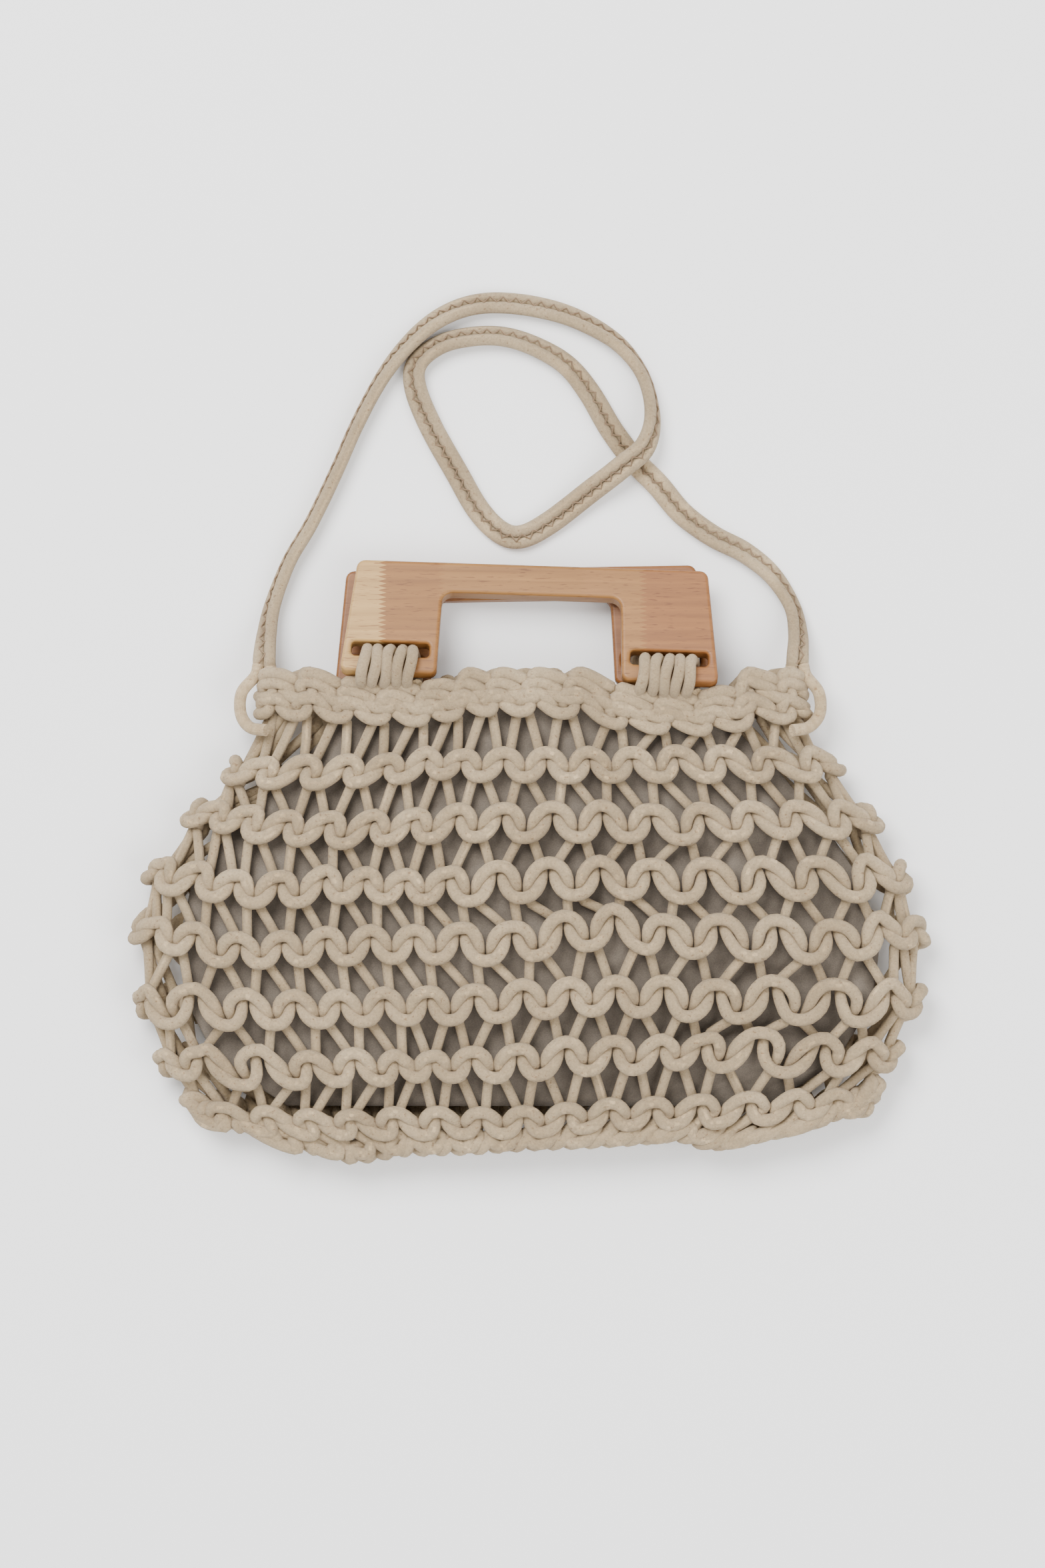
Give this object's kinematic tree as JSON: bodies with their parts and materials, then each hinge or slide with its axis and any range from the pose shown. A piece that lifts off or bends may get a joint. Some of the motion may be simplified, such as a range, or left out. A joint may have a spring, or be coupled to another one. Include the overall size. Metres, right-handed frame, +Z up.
{
  "type": "rope handbag",
  "caption": "Rounded handbag of coarse knitted rope with a cotton lining, two wooden handles that swing on rope wraps, and a cord strap laid in loops.",
  "frame": {"origin": "middle of the surface under the bag, which lies on its back, without the strap", "axes": "+X along the bag's width to the right, +Y towards the handles, +Z up out of the front"},
  "size_m": [0.3853, 0.4152, 0.0479],
  "materials": {
    "rope": "matt braided cotton",
    "lining": "plain cotton weave",
    "wood": "satin"
  },
  "bodies": {
    "bag": {"front_panel": "rope", "back_panel": "rope", "lining": "lining", "front_left_wrap": "rope", "front_right_wrap": "rope", "back_left_wrap": "rope", "back_right_wrap": "rope", "left_strap_loop": "rope", "right_strap_loop": "rope", "strap": "rope"},
    "front_grip": {"front_handle": "wood"},
    "back_grip": {"back_handle": "wood"}
  },
  "joints": [
    {"name": "front_handle_swing", "type": "hinge", "parent": "bag", "child": "front_grip", "pos_m": [0, 0.0899, 0.03264], "axis": [0.9995, -0.0332, 0], "range_deg": [0, 120]},
    {"name": "back_handle_swing", "type": "hinge", "parent": "bag", "child": "back_grip", "pos_m": [-0.003, 0.0868, 0.01078], "axis": [0.9998, 0.0174, 0], "range_deg": [-120, 0]}
  ]
}
